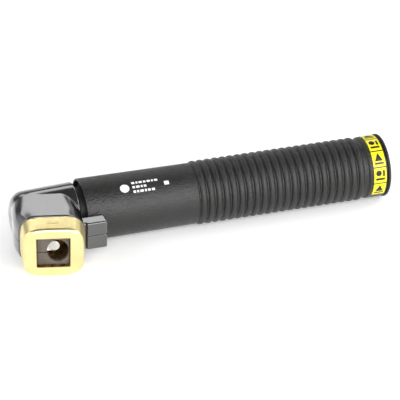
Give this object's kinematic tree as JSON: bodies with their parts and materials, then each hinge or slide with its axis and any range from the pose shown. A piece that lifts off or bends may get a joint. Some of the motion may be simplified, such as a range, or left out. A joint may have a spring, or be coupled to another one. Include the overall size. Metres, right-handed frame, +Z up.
{
  "type": "electrode holder",
  "caption": "Twist-grip arc welding electrode holder: a brass nose clamps the rod and the insulated, ribbed handle turns to tighten it.",
  "frame": {"origin": "under the middle of the holder's box, on the surface it lies on", "axes": "+X along the handle towards the cable end, -Y the way the nose points, +Z up"},
  "size_m": [0.2462, 0.0672, 0.0404],
  "materials": {
    "brass": "pale satin brass",
    "steel": "ground steel",
    "gloss": "glossy black moulding",
    "matte": "satin black, finely grained",
    "fibre": "grey-brown heat-resistant board",
    "rubber": "matt black rubber",
    "copper": "bare copper",
    "yellow": "yellow printed film"
  },
  "bodies": {
    "head": {"contact_head": "brass", "guide_plate": "fibre", "head_shell_upper": "gloss", "head_shell_lower": "gloss", "neck_sleeve": "matte", "neck_seal": "rubber", "neck_pin": "steel", "thrust_key": "steel", "pivot_pin": "steel", "shell_screw_lug": "steel", "shell_nut_lug": "steel", "shell_screw_tip": "steel", "shell_nut_tip": "steel"},
    "lever": {"clamp_lever": "steel"},
    "thrust": {"thrust_pin": "steel", "swivel_pin": "steel"},
    "handle": {"handle_tube": "matte", "inner_sleeve": "fibre", "spindle": "brass", "lock_nut": "brass", "spindle_pin": "steel", "cable_socket": "brass", "grub_screw_front": "steel", "grub_screw_rear": "steel", "pressure_strip": "copper", "handle_screw": "steel", "screw_cap": "matte", "rear_bush": "rubber", "label": "yellow"}
  },
  "joints": [
    {"name": "thrust_travel", "type": "slide", "parent": "head", "child": "thrust", "axis": [-1, 0, 0], "range_m": [-0.0031, 0.0031]},
    {"name": "handle_twist", "type": "hinge", "parent": "thrust", "child": "handle", "pos_m": [0, 0.01342, 0.0202], "axis": [-1, 0, 0], "range_deg": [-180, 180]},
    {"name": "lever_pivot", "type": "hinge", "parent": "head", "child": "lever", "pos_m": [-0.10241, -0.00098, 0.01909], "axis": [0, -0.0767, 0.9971], "range_deg": [-11.7, 11.7]}
  ],
  "couplings": [
    {"joint": "thrust_travel", "follows": "handle_twist", "m_per_rad": 0.00095493},
    {"joint": "lever_pivot", "follows": "handle_twist", "ratio": 0.063057}
  ]
}
